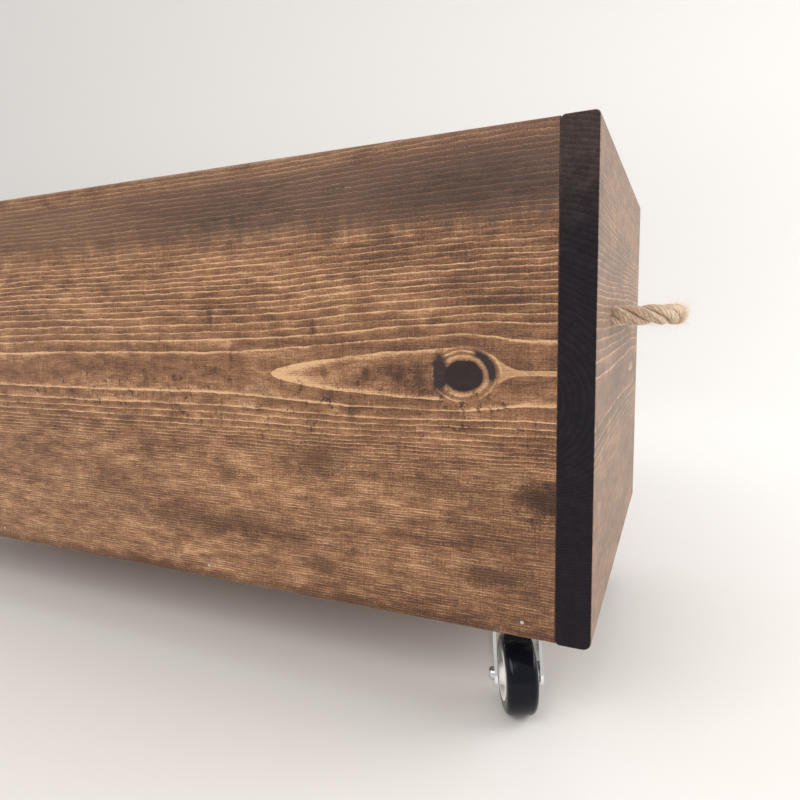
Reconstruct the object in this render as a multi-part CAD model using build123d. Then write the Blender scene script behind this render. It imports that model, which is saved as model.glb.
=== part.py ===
from build123d import *
import os
from math import atan2, cos, hypot, radians, tan

# A rolling wooden toy box: an open case of five pine boards nailed together, a looped rope handle through two
# holes in each end board, knotted inside, and four swivel castors screwed under the corners.
# Frame: millimetres, +X along the case's length, +Y to the back, +Z up, origin on the floor under the middle.

OVERCUT = 1.0  # how far a cut passes the face that it opens

# Case
CASE_LENGTH = 767.0
CASE_DEPTH = 318.0
CASE_HEIGHT = 286.0  # one wide board
BOARD = 20.0  # thickness of every board
LONG_EDGE_EASE = 3.0  # rounding along a board's long edges
FOOT_EDGE_EASE = 5.0  # the end boards' lower outer edges are rounder
END_GRAIN_EASE = 1.0
CASTOR_HEIGHT = 67.0  # floor to the underside of the case

# Nails: finishing nails with small heads, driven flush
NAIL_R = 0.75
NAIL_HEAD_R = 1.05
NAIL_HEAD = 1.4
NAIL_LENGTH = 50.0
NAIL_POINT = 3.0
NAIL_TIP_R = 0.2
NAIL_GAP = 0.02  # between a nail and its own hole, as a drawing allowance
FACE_NAIL_COUNT = 4
FACE_NAIL_PITCH = 230.0
END_NAIL_HEIGHTS = (17.0, 124.0, 250.0)  # above the case's underside

# Rope handles
ROPE_R = 6.2
ROPE_HOLE_R = 6.5
HANDLE_HEIGHT = 184.0  # above the case's underside
HANDLE_HALF_SPAN = 82.0  # from the middle of the end board to each hole
HINGE_GAP = 0.3  # between the loop's round end and the end board
ROPE_STUB_PROUD = 0.1
KNOT_TURNS = 2  # wraps of a barrel knot inside the end board
KNOT_TURN_R = 12.6  # the wraps' centreline
KNOT_TURN_PITCH = 11.6
KNOT_FILL = 1.0  # how far the knot's middle reaches past the wraps' centrelines
KNOT_PRESS = 0.6  # how far the first wrap flattens against the board
TAIL_LENGTH = 44.0  # below the knot's middle
TAIL_GAP = 0.2  # between the tail and the board
# The loop's route as (distance out of the end board's face, distance along Y), from hole to hole.
HANDLE_ROUTE = (
    (-BOARD, -HANDLE_HALF_SPAN),
    (19.0, -HANDLE_HALF_SPAN),
    (36.2, -64.5),
    (37.0, -31.0),
    (37.4, 3.0),
    (36.9, 36.0),
    (35.8, 65.0),
    (18.6, HANDLE_HALF_SPAN),
    (-BOARD, HANDLE_HALF_SPAN),
)

# Castor, in its own frame: swivel axis at x = y = 0, mounting face at z = 0, wheel trailing towards -y
PLATE_SIZE = (60.0, 48.0)
PLATE = 2.0
PLATE_CORNER_R = 7.0
PLATE_EDGE_R = 0.6
PLATE_HOLE_PITCH = (44.0, 32.0)
PLATE_SLOT = (8.0, 4.6)
PLATE_PAD_R = 20.0  # raised ring that holds the upper ball track
PLATE_PAD = 1.6
PLATE_PAD_EDGE_R = 0.8
BALL_R = 2.0
BALL_RING_R = 15.5
BALL_COUNT = 16
BALL_Z = -4.75
TRACK_GAP = 0.08
CUP_R = 22.0  # the fork's round head
CUP_WALL = 1.4
CUP_EDGE_R = 1.6
CUP_TOP_Z = -3.9  # rim of the head's skirt
CUP_FLOOR_Z = (-5.9, -8.4)
KINGPIN_R = 4.5
KINGPIN_HEAD_R = 8.0
KINGPIN_HEAD = 2.2
KINGPIN_HEAD_ROUND = 1.9
KINGPIN_GAP = 0.1
KINGPIN_SEAT_GAP = 0.05
KINGPIN_Z = (0.0, -10.4)
CLENCH_R = 6.8  # the pin's flared top, sunk in the plate
CLENCH = 1.2
FORK_SHEET = 2.0
FORK_INSIDE = 13.4  # half the space between the legs
FORK_BEND_R = 1.5  # inside the legs' bends
FORK_TOP_HALF = 17.0  # half the legs' width under the head
FORK_EYE_R = 8.5  # round end of a leg
FORK_SUNK = 0.2  # how far the legs' bridge is sunk into the head
TRAIL = 20.0  # swivel axis to axle
WHEEL_R = 25.4
TYRE_HALF = 9.7
TYRE_INNER_R = 16.4
TYRE_SHOULDER_R = 4.4
TREAD_CROWN = 0.5
HUB_HALF = 9.9
HUB_RIM = 3.0
HUB_WEB_HALF = 7.6
HUB_RIM_TAPER = 0.6
HUB_LIP = 0.4  # bevel beside the tyre
HUB_BOSS_R = 7.5
HUB_BOSS_TAPER = 0.8
HUB_BOSS_HALF = 12.7
SLEEVE_R = 4.2
SLEEVE_HALF = 13.0
AXLE_R = 3.0
AXLE_GAP = 0.05
AXLE_HEAD_R = 4.1
AXLE_HEAD = 2.6
AXLE_HEAD_ROUND = 2.2
AXLE_NUT_R = 4.6
AXLE_NUT = 1.0  # a thin push-on nut
AXLE_NUT_EDGE_R = 0.4
AXLE_TIP = 0.4
AXLE_TIP_BEVEL = 0.3
SCREW_R = 1.9
SCREW_LENGTH = 15.0
SCREW_HEAD_R = 3.7
SCREW_HEAD = 2.2
SCREW_ROUND = 1.4  # under the head's top, and the bevel at the point
SCREW_CROSS = (3.6, 0.9)
SCREW_CROSS_DEPTH = 1.1
SCREW_GAP = 0.03

# The castors' swivel axes stand this far from the case's outer faces, and each wheel has its own heading.
CASTOR_FROM_END = 57.3
CASTOR_FROM_FACE = 50.6
HEADINGS = {"front_right": 24.0, "front_left": 152.0, "back_right": 67.0, "back_left": -38.0}

HALF_LENGTH = CASE_LENGTH / 2
HALF_DEPTH = CASE_DEPTH / 2
INNER_LENGTH = CASE_LENGTH - 2 * BOARD
INNER_DEPTH = CASE_DEPTH - 2 * BOARD
CASE_TOP = CASTOR_HEIGHT + CASE_HEIGHT
HANDLE_Z = CASTOR_HEIGHT + HANDLE_HEIGHT
AXLE_Z = WHEEL_R - CASTOR_HEIGHT


def save(name, shape):
    """Writes one node."""
    export_step(shape, os.path.join("parts", f"{name}.step"))


def box_between(low, high):
    """A box from its lowest to its highest corner."""
    size = [b - a for a, b in zip(low, high)]
    middle = [(a + b) / 2 for a, b in zip(low, high)]
    return Pos(*middle) * Box(*size)


def cylinder_along(axis_rotation, start, radius, length):
    """A cylinder that starts at a point and runs along +Z turned by axis_rotation."""
    return Pos(*start) * axis_rotation * Pos(0, 0, length / 2) * Cylinder(radius, length)


def ring(outline_points):
    """A solid of revolution about X from (radius, x) corner points."""
    face = make_face(Polyline([(x, r) for r, x in outline_points], close=True))
    return revolve(face, Axis.X, 360)


# --- Nails -------------------------------------------------------------------------------------------------

INTO = {
    "+X": Rot(0, 90, 0),
    "-X": Rot(0, -90, 0),
    "+Y": Rot(-90, 0, 0),
    "-Y": Rot(90, 0, 0),
}


def nail(place, grow=0.0):
    """One nail, or with grow its hole: head flush at the place, driven along the named direction."""
    point, direction = place
    reach = NAIL_LENGTH - NAIL_POINT
    head = Pos(0, 0, NAIL_HEAD / 2) * Cylinder(NAIL_HEAD_R + grow, NAIL_HEAD)
    shank = Pos(0, 0, reach / 2) * Cylinder(NAIL_R + grow, reach)
    tip = Pos(0, 0, reach + NAIL_POINT / 2) * Cone(NAIL_R + grow, NAIL_TIP_R + grow, NAIL_POINT + grow)
    return Pos(*point) * INTO[direction] * (head + shank + tip)


def face_nails(side):
    """Places of the nails through the front (side -1) or back (side 1) board into the bottom board's edge."""
    first = -FACE_NAIL_PITCH * (FACE_NAIL_COUNT - 1) / 2
    height = CASTOR_HEIGHT + BOARD / 2
    direction = "+Y" if side < 0 else "-Y"
    return [
        ((first + k * FACE_NAIL_PITCH, side * HALF_DEPTH, height), direction) for k in range(FACE_NAIL_COUNT)
    ]


def end_nails(side):
    """Places of the nails through an end board into the front and back boards' ends and the bottom board's."""
    direction = "-X" if side > 0 else "+X"
    rows = [
        ((side * HALF_LENGTH, y, CASTOR_HEIGHT + height), direction)
        for y in (-HALF_DEPTH + BOARD / 2, HALF_DEPTH - BOARD / 2)
        for height in END_NAIL_HEIGHTS
    ]
    middle = ((side * HALF_LENGTH, 0.0, CASTOR_HEIGHT + BOARD / 2), direction)
    return [*rows, middle]


# --- Case --------------------------------------------------------------------------------------------------


def long_board(side):
    """The front (side -1) or back (side 1) board, between the end boards."""
    near, far = sorted((side * HALF_DEPTH, side * (HALF_DEPTH - BOARD)))
    board = box_between((-INNER_LENGTH / 2, near, CASTOR_HEIGHT), (INNER_LENGTH / 2, far, CASE_TOP))
    return fillet(board.edges().filter_by(Axis.X), LONG_EDGE_EASE)


def end_board(side):
    """The board across one end, with its two rope holes."""
    near, far = sorted((side * HALF_LENGTH, side * (HALF_LENGTH - BOARD)))
    board = box_between((near, -HALF_DEPTH, CASTOR_HEIGHT), (far, HALF_DEPTH, CASE_TOP))
    lengthwise = board.edges().filter_by(Axis.Y)
    foot = lengthwise.sort_by(Axis.Z)[:2].sort_by(Axis.X)[-1 if side > 0 else 0]
    others = [edge for edge in lengthwise if not edge.is_same(foot)]
    board = fillet(foot, FOOT_EDGE_EASE)
    board = fillet(board.edges().filter_by(Axis.Y).filter_by(lambda e: near_any(e, others)), LONG_EDGE_EASE)
    outer = board.edges().filter_by(Axis.Z).group_by(Axis.X)[-1 if side > 0 else 0]
    board = fillet(outer, END_GRAIN_EASE)
    for y in (-HANDLE_HALF_SPAN, HANDLE_HALF_SPAN):
        start = (near - OVERCUT, y, HANDLE_Z)
        board -= cylinder_along(Rot(0, 90, 0), start, ROPE_HOLE_R, BOARD + 2 * OVERCUT)
    return board


def near_any(edge, others):
    """Whether an edge lies where one of the others does."""
    return any((edge.center() - other.center()).length < 0.01 for other in others)


def bottom_board(screw_places):
    """The board inside the four others, flush with their lower edges."""
    low = (-INNER_LENGTH / 2, -INNER_DEPTH / 2, CASTOR_HEIGHT)
    high = (INNER_LENGTH / 2, INNER_DEPTH / 2, CASTOR_HEIGHT + BOARD)
    board = box_between(low, high)
    for x, y in screw_places:
        pilot = SCREW_LENGTH - PLATE + SCREW_GAP
        board -= Pos(x, y, CASTOR_HEIGHT + pilot / 2) * Cylinder(SCREW_R + SCREW_GAP, pilot)
    return board


def make_case(screw_places):
    boards = {
        "front_panel": long_board(-1),
        "back_panel": long_board(1),
        "right_end_panel": end_board(1),
        "left_end_panel": end_board(-1),
        "bottom_board": bottom_board(screw_places),
    }
    nail_groups = {
        "front_panel_nails": face_nails(-1),
        "back_panel_nails": face_nails(1),
        "right_end_nails": end_nails(1),
        "left_end_nails": end_nails(-1),
    }
    for places in nail_groups.values():
        for place in places:
            hole = nail(place, NAIL_GAP)
            for name in boards:
                if overlaps(boards[name], hole):
                    boards[name] -= hole
    for name, board in boards.items():
        save(name, board)
    for name, places in nail_groups.items():
        save(name, Compound(children=[nail(place) for place in places]))


def overlaps(shape, other):
    """Whether two shapes' boxes overlap."""
    a, b = shape.bounding_box(), other.bounding_box()
    return all(
        low < high
        for low, high in (
            (a.min.X, b.max.X), (b.min.X, a.max.X),
            (a.min.Y, b.max.Y), (b.min.Y, a.max.Y),
            (a.min.Z, b.max.Z), (b.min.Z, a.max.Z),
        )
    )


# --- Rope handles ------------------------------------------------------------------------------------------


def route_radii(points):
    """The arc at each corner of a route: as large as its two runs allow."""
    radii = []
    for before, corner, after in zip(points, points[1:], points[2:]):
        run_in = (corner[0] - before[0], corner[1] - before[1])
        run_out = (after[0] - corner[0], after[1] - corner[1])
        turn = atan2(
            run_in[0] * run_out[1] - run_in[1] * run_out[0],
            run_in[0] * run_out[0] + run_in[1] * run_out[1],
        )
        radii.append(0.45 * min(hypot(*run_in), hypot(*run_out)) / tan(abs(turn) / 2))
    return radii


def handle_loop(side):
    """The loop outside an end board. Its round ends sit on the line that it bends about at the holes."""
    path = FilletPolyline(*HANDLE_ROUTE, radius=route_radii(HANDLE_ROUTE))
    start = Plane(origin=path @ 0, z_dir=path % 0)
    tube = sweep(start * Circle(ROPE_R), path)
    hinge = ROPE_R + HINGE_GAP
    reach = HANDLE_HALF_SPAN + 3 * ROPE_R
    tube -= box_between((-BOARD - OVERCUT, -reach, -2 * ROPE_R), (hinge, reach, 2 * ROPE_R))
    for y in (-HANDLE_HALF_SPAN, HANDLE_HALF_SPAN):
        tube += Pos(hinge, y, 0) * Sphere(ROPE_R)
    return at_end(side) * tube


def at_end(side):
    """The place of a handle's own frame: out of an end board's face along +X, at the holes' height."""
    turn = Rot(0, 0, 0 if side > 0 else 180)
    return Pos(side * HALF_LENGTH, 0, HANDLE_Z) * turn


def handle_end(side, y):
    """One end of a handle's rope: the stretch in its hole, the barrel knot inside and the tail below it."""
    inner = -BOARD
    first = inner - ROPE_R + KNOT_PRESS
    last = first - (KNOT_TURNS - 1) * KNOT_TURN_PITCH
    core_end = last - ROPE_R / 2
    fill = first - last + 2 * KNOT_FILL
    clear = KNOT_TURN_R + 2 * ROPE_R
    in_hole = cylinder_along(Rot(0, 90, 0), (inner - OVERCUT, y, 0), ROPE_R, BOARD)
    whole = cylinder_along(Rot(0, 90, 0), (core_end, y, 0), ROPE_R, ROPE_STUB_PROUD - core_end)
    whole += cylinder_along(Rot(0, 90, 0), (last - KNOT_FILL, y, 0), KNOT_TURN_R, fill)
    for k in range(KNOT_TURNS):
        whole += Pos(first - k * KNOT_TURN_PITCH, y, 0) * Rot(0, 90, 0) * Torus(KNOT_TURN_R, ROPE_R)
    whole -= box_between((inner, y - clear, -clear), (inner + BOARD / 2, y + clear, clear)) - in_hole
    tail = Cylinder(ROPE_R - TAIL_GAP, TAIL_LENGTH)
    whole += Pos(inner - ROPE_R, y + KNOT_TURN_R, -TAIL_LENGTH / 2) * tail
    return at_end(side) * whole


def make_handles():
    for name, side in (("right", 1), ("left", -1)):
        save(f"{name}_handle_rope", handle_loop(side))
        save(f"{name}_handle_front_knot", handle_end(side, -HANDLE_HALF_SPAN))
        save(f"{name}_handle_back_knot", handle_end(side, HANDLE_HALF_SPAN))


# --- Castors -----------------------------------------------------------------------------------------------


def plate_holes():
    """The middles of the mounting plate's four slots."""
    across, along = PLATE_HOLE_PITCH
    return [(sx * across / 2, sy * along / 2) for sx in (-1, 1) for sy in (-1, 1)]


def ball_track():
    """The groove that the balls run in, as a solid to cut away."""
    return Pos(0, 0, BALL_Z) * Torus(BALL_RING_R, BALL_R + TRACK_GAP)


def mounting_plate():
    plate = extrude(RectangleRounded(*PLATE_SIZE, PLATE_CORNER_R), -PLATE)
    plate = fillet(plate.faces().sort_by(Axis.Z)[0].outer_wire().edges(), PLATE_EDGE_R)
    for x, y in plate_holes():
        plate -= Pos(x, y, -PLATE) * extrude(SlotOverall(*PLATE_SLOT), PLATE)
    pad = Pos(0, 0, -PLATE - PLATE_PAD / 2) * Cylinder(PLATE_PAD_R, PLATE_PAD)
    pad = fillet(pad.edges().group_by(Axis.Z)[0], PLATE_PAD_EDGE_R)
    plate += pad
    plate -= ball_track()
    plate -= Pos(0, 0, -PLATE) * Cylinder(KINGPIN_R + KINGPIN_SEAT_GAP, 4 * PLATE)
    plate -= clench(KINGPIN_SEAT_GAP)
    return plate


def clench(grow=0.0):
    """The kingpin's flared top, or with grow the recess that it fills."""
    return Pos(0, 0, -CLENCH / 2) * Cone(KINGPIN_R + grow, CLENCH_R + grow, CLENCH)


def kingpin():
    """The rivet that the fork turns on: clenched over in the plate, with a domed head under the fork."""
    top, underside = KINGPIN_Z
    shank = Pos(0, 0, (top + underside) / 2) * Cylinder(KINGPIN_R, top - underside)
    head = Pos(0, 0, underside - KINGPIN_HEAD / 2) * Cylinder(KINGPIN_HEAD_R, KINGPIN_HEAD)
    head = fillet(head.edges().group_by(Axis.Z)[0], KINGPIN_HEAD_ROUND)
    return shank + clench() + head


def fork():
    """The round head with the lower ball track, and two legs bent down from it to the axle."""
    top, underside = CUP_FLOOR_Z
    cup = Pos(0, 0, (CUP_TOP_Z + underside) / 2) * Cylinder(CUP_R, CUP_TOP_Z - underside)
    cup = fillet(cup.edges().group_by(Axis.Z)[0], CUP_EDGE_R)
    depth = CUP_TOP_Z - top + OVERCUT
    cup -= Pos(0, 0, top + depth / 2) * Cylinder(CUP_R - CUP_WALL, depth)
    leg_top = underside + FORK_SUNK
    outline = make_hull(
        [
            Line((-FORK_TOP_HALF, leg_top), (FORK_TOP_HALF, leg_top)),
            *(Pos(-TRAIL, AXLE_Z) * Circle(FORK_EYE_R)).edges(),
        ]
    )
    half = FORK_INSIDE + FORK_SHEET
    body = extrude(Plane.YZ * outline, half, both=True)
    body = fillet(body.edges().filter_by(Axis.Y).group_by(Axis.Z)[-1], FORK_SHEET + FORK_BEND_R)
    reach = CASTOR_HEIGHT
    inside = box_between((-FORK_INSIDE, -reach, -reach), (FORK_INSIDE, reach, leg_top - FORK_SHEET))
    inside = fillet(inside.edges().filter_by(Axis.Y).group_by(Axis.Z)[-1], FORK_BEND_R)
    whole = cup + (body - inside)
    whole -= ball_track()
    whole -= Pos(0, 0, underside) * Cylinder(KINGPIN_R + KINGPIN_GAP, 4 * FORK_SHEET)
    through = 2 * (half + OVERCUT)
    axle_hole = cylinder_along(Rot(0, 90, 0), (-half - OVERCUT, 0, 0), AXLE_R + AXLE_GAP, through)
    return whole - at_axle(axle_hole)


def swivel_balls():
    turn = 360 / BALL_COUNT
    balls = [Rot(0, 0, k * turn) * Pos(BALL_RING_R, 0, BALL_Z) * Sphere(BALL_R) for k in range(BALL_COUNT)]
    return Compound(children=balls)


def axle_bolt():
    """A low round head outside one leg, and a shank that passes through to just beyond the other."""
    half = FORK_INSIDE + FORK_SHEET
    length = 2 * half + AXLE_NUT + AXLE_TIP
    shank = cylinder_along(Rot(0, 90, 0), (-half, 0, 0), AXLE_R, length)
    shank = chamfer(shank.edges().group_by(Axis.X)[-1], AXLE_TIP_BEVEL)
    head = cylinder_along(Rot(0, -90, 0), (-half, 0, 0), AXLE_HEAD_R, AXLE_HEAD)
    head = fillet(head.edges().group_by(Axis.X)[0], AXLE_HEAD_ROUND)
    return at_axle(head + shank)


def axle_nut():
    """The thin nut pushed onto the bolt's tip against the leg."""
    half = FORK_INSIDE + FORK_SHEET
    nut = cylinder_along(Rot(0, 90, 0), (half, 0, 0), AXLE_NUT_R, AXLE_NUT)
    nut = fillet(nut.edges().group_by(Axis.X)[-1], AXLE_NUT_EDGE_R)
    hole = cylinder_along(Rot(0, 90, 0), (half - OVERCUT, 0, 0), AXLE_R + AXLE_GAP, AXLE_NUT + 2 * OVERCUT)
    return at_axle(nut - hole)


def at_axle(shape):
    return Pos(0, -TRAIL, AXLE_Z) * shape


def axle_sleeve():
    """The steel tube pressed into the hub, which turns on the bolt."""
    tube = ring(
        [
            (AXLE_R + AXLE_GAP, -SLEEVE_HALF),
            (SLEEVE_R, -SLEEVE_HALF),
            (SLEEVE_R, SLEEVE_HALF),
            (AXLE_R + AXLE_GAP, SLEEVE_HALF),
        ]
    )
    return at_axle(tube)


def wheel_hub():
    """Moulded hub: a boss on the sleeve, a shallow dish on each side, and the rim under the tyre."""
    rim_inner = TYRE_INNER_R - HUB_RIM
    rim_foot = rim_inner - HUB_RIM_TAPER
    boss_top = HUB_BOSS_R - HUB_BOSS_TAPER
    body = ring(
        [
            (SLEEVE_R, -HUB_BOSS_HALF), (boss_top, -HUB_BOSS_HALF), (HUB_BOSS_R, -HUB_WEB_HALF),
            (rim_foot, -HUB_WEB_HALF), (rim_inner, -HUB_HALF), (TYRE_INNER_R - HUB_LIP, -HUB_HALF),
            (TYRE_INNER_R, -TYRE_HALF), (TYRE_INNER_R, TYRE_HALF), (TYRE_INNER_R - HUB_LIP, HUB_HALF),
            (rim_inner, HUB_HALF), (rim_foot, HUB_WEB_HALF),
            (HUB_BOSS_R, HUB_WEB_HALF), (boss_top, HUB_BOSS_HALF), (SLEEVE_R, HUB_BOSS_HALF),
        ]
    )
    return at_axle(body)


def tyre():
    """Cast tread with round shoulders and a slight crown."""
    shoulder = TYRE_HALF - TYRE_SHOULDER_R
    wall_top = WHEEL_R - TREAD_CROWN - TYRE_SHOULDER_R
    bend = TYRE_SHOULDER_R * (1 - cos(radians(45)))
    edge = WHEEL_R - TREAD_CROWN
    outline = [
        Line((-TYRE_HALF, TYRE_INNER_R), (-TYRE_HALF, wall_top)),
        ThreePointArc((-TYRE_HALF, wall_top), (-TYRE_HALF + bend, edge - bend), (-shoulder, edge)),
        ThreePointArc((-shoulder, edge), (0, WHEEL_R), (shoulder, edge)),
        ThreePointArc((shoulder, edge), (TYRE_HALF - bend, edge - bend), (TYRE_HALF, wall_top)),
        Line((TYRE_HALF, wall_top), (TYRE_HALF, TYRE_INNER_R)),
        Line((TYRE_HALF, TYRE_INNER_R), (-TYRE_HALF, TYRE_INNER_R)),
    ]
    return at_axle(revolve(make_face(outline), Axis.X, 360))


def screw():
    """A pan-head wood screw, head down, through the plate and up into the bottom board."""
    shank = Pos(0, 0, -PLATE + SCREW_LENGTH / 2) * Cylinder(SCREW_R, SCREW_LENGTH)
    shank = chamfer(shank.edges().group_by(Axis.Z)[-1], SCREW_ROUND)
    head = Pos(0, 0, -PLATE - SCREW_HEAD / 2) * Cylinder(SCREW_HEAD_R, SCREW_HEAD)
    head = fillet(head.edges().group_by(Axis.Z)[0], SCREW_ROUND)
    whole = head + shank
    slot = Pos(0, 0, -PLATE - SCREW_HEAD) * Box(*SCREW_CROSS, 2 * SCREW_CROSS_DEPTH)
    for turn in (45, 135):
        whole -= Rot(0, 0, turn) * slot
    return whole


def mounting_screws():
    return Compound(children=[Pos(x, y, 0) * screw() for x, y in plate_holes()])


def castor_places():
    """Each castor's name, swivel axis and heading."""
    x, y = HALF_LENGTH - CASTOR_FROM_END, HALF_DEPTH - CASTOR_FROM_FACE
    signs = {"front_right": (1, -1), "front_left": (-1, -1), "back_right": (1, 1), "back_left": (-1, 1)}
    return [(name, sx * x, sy * y, HEADINGS[name]) for name, (sx, sy) in signs.items()]


def make_castors():
    fixed = {
        "mounting_plate": mounting_plate(),
        "mounting_screws": mounting_screws(),
        "kingpin": kingpin(),
    }
    turning = {
        "swivel_balls": swivel_balls(),
        "fork": fork(),
        "axle_bolt": axle_bolt(),
        "axle_nut": axle_nut(),
        "axle_sleeve": axle_sleeve(),
        "wheel_hub": wheel_hub(),
        "tyre": tyre(),
    }
    for name, x, y, heading in castor_places():
        place = Pos(x, y, CASTOR_HEIGHT)
        for part, shape in fixed.items():
            save(f"{name}_{part}", place * shape)
        for part, shape in turning.items():
            save(f"{name}_{part}", place * Rot(0, 0, heading) * shape)


def main():
    os.makedirs("parts", exist_ok=True)
    screw_places = [(x + hx, y + hy) for _, x, y, _ in castor_places() for hx, hy in plate_holes()]
    make_case(screw_places)
    make_handles()
    make_castors()


main()
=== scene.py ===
import math

import bpy
import numpy as np
from mathutils import Matrix, Vector


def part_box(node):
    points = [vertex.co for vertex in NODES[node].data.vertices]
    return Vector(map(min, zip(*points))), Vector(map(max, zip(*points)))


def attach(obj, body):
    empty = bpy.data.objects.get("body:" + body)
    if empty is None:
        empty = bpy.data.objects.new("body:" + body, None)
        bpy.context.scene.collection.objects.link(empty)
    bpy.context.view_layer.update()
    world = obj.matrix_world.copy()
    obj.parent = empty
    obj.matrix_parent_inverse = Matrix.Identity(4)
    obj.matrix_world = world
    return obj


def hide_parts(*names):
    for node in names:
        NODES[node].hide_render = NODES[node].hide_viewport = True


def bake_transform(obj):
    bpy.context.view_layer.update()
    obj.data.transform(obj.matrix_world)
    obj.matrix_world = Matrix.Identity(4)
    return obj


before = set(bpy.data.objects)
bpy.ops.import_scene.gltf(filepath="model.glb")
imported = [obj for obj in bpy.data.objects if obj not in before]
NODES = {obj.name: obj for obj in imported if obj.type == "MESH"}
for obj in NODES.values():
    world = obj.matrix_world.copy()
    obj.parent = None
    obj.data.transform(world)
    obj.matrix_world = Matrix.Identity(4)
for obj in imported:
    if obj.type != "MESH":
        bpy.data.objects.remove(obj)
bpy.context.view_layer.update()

# The toy box's looks: stained pine boards, hairy three-strand rope handles with knots, plated castors with
# glossy black treads, a pale floor and soft studio light. Lengths are metres unless a name or comment says
# mm. The materials of wood and rope reckon in mm.

MM = 0.001
RANDOM_SEED = 11

CASE_LOW = Vector(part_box("left_end_panel")[0])
CASE_HIGH = Vector(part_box("right_end_panel")[1])
CASTORS = ("front_right", "front_left", "back_right", "back_left")


# --- Materials as arithmetic ------------------------------------------------------------------------------


class Field:
    """A value in a material's nodes, so that node maths reads as arithmetic."""

    def __init__(self, shader, socket):
        self.shader = shader
        self.socket = socket

    def __add__(self, other):
        return self.shader.maths("ADD", self, other)

    __radd__ = __add__

    def __sub__(self, other):
        return self.shader.maths("SUBTRACT", self, other)

    def __rsub__(self, other):
        return self.shader.maths("SUBTRACT", other, self)

    def __mul__(self, other):
        return self.shader.maths("MULTIPLY", self, other)

    __rmul__ = __mul__

    def __truediv__(self, other):
        return self.shader.maths("DIVIDE", self, other)

    def __pow__(self, other):
        return self.shader.maths("POWER", self, other)

    def root(self):
        return self.shader.maths("SQRT", self)

    def size(self):
        return self.shader.maths("ABSOLUTE", self)

    def fraction(self):
        return self.shader.maths("FRACT", self)

    def most(self, other):
        return self.shader.maths("MAXIMUM", self, other)

    def least(self, other):
        return self.shader.maths("MINIMUM", self, other)

    def rise(self, low, high):
        """0 below low and 1 above high, with a smooth rise between."""
        return self.shader.smooth_step(self, low, high)

    def hill(self, middle, width):
        """1 at the middle, falling away smoothly on both sides."""
        away = (self - middle) / width
        return self.shader.maths("EXPONENT", away * away * -1.0)


class Shader:
    """One material, its Principled surface and the nodes that feed it."""

    def __init__(self, name):
        self.material = bpy.data.materials.new(name)
        self.material.use_nodes = True
        self.tree = self.material.node_tree
        self.surface = self.tree.nodes["Principled BSDF"]

    def node(self, kind, **settings):
        made = self.tree.nodes.new(kind)
        for key, value in settings.items():
            setattr(made, key, value)
        return made

    def feed(self, socket, value):
        if isinstance(value, Field):
            self.tree.links.new(value.socket, socket)
        else:
            socket.default_value = value

    def maths(self, operation, *values):
        made = self.node("ShaderNodeMath", operation=operation)
        for socket, value in zip(made.inputs, values):
            self.feed(socket, value)
        return Field(self, made.outputs[0])

    def smooth_step(self, value, low, high):
        made = self.node("ShaderNodeMapRange", interpolation_type="SMOOTHSTEP", clamp=True)
        for key, number in (("From Min", low), ("From Max", high), ("Value", value)):
            self.feed(made.inputs[key], number)
        return Field(self, made.outputs["Result"])

    def place_mm(self):
        """The point's x, y and z in the row frame at rest, in millimetres."""
        spot = self.node("ShaderNodeTexCoord")
        scaled = self.node("ShaderNodeVectorMath", operation="SCALE")
        self.tree.links.new(spot.outputs["Object"], scaled.inputs[0])
        scaled.inputs["Scale"].default_value = 1 / MM
        split = self.node("ShaderNodeSeparateXYZ")
        self.tree.links.new(scaled.outputs[0], split.inputs[0])
        return [Field(self, split.outputs[k]) for k in range(3)]

    def noise(self, place, grain, detail=2.0, roughness=0.5):
        """Noise from -0.5 to 0.5, whose features are about grain = (x, y, z) long, in the place's units."""
        point = self.node("ShaderNodeCombineXYZ")
        for socket, value in zip(point.inputs, place):
            self.feed(socket, value)
        scaled = self.node("ShaderNodeVectorMath", operation="MULTIPLY")
        self.tree.links.new(point.outputs[0], scaled.inputs[0])
        scaled.inputs[1].default_value = [1 / g for g in grain]
        made = self.node("ShaderNodeTexNoise")
        made.inputs["Scale"].default_value = 1.0
        made.inputs["Detail"].default_value = detail
        made.inputs["Roughness"].default_value = roughness
        self.tree.links.new(scaled.outputs[0], made.inputs["Vector"])
        return Field(self, made.outputs["Fac"]) - 0.5

    def blend(self, factor, first, second, mode="MIX"):
        """first where factor is 0, and second where it is 1, or their product if the mode is MULTIPLY."""
        made = self.node("ShaderNodeMix", data_type="RGBA", clamp_factor=True, blend_type=mode)
        self.feed(made.inputs[0], factor)
        for socket, value in ((made.inputs[6], first), (made.inputs[7], second)):
            self.feed(socket, value if isinstance(value, Field) else (*value, 1.0))
        return Field(self, made.outputs[2])

    def bump(self, height, distance_mm):
        """Relief that is distance_mm high where height is 1, and turns the shading only."""
        made = self.node("ShaderNodeBump")
        made.inputs["Distance"].default_value = distance_mm * MM
        made.inputs["Strength"].default_value = 1.0
        self.feed(made.inputs["Height"], height)
        self.tree.links.new(made.outputs["Normal"], self.surface.inputs["Normal"])

    def finish(self, colour, roughness, metallic=0.0, **settings):
        """Sets the surface's colour and roughness, and other inputs by name, and gives the material."""
        self.feed(self.surface.inputs["Base Color"], colour if isinstance(colour, Field) else (*colour, 1.0))
        self.feed(self.surface.inputs["Roughness"], roughness)
        self.surface.inputs["Metallic"].default_value = metallic
        for key, value in settings.items():
            self.surface.inputs[key.replace("_", " ")].default_value = value
        return self.material


def paint(obj, material):
    """Gives the whole of an object one material."""
    obj.data.materials.clear()
    obj.data.materials.append(material)
    for face in obj.data.polygons:
        face.material_index = 0


# --- Stained pine -----------------------------------------------------------------------------------------

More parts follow.
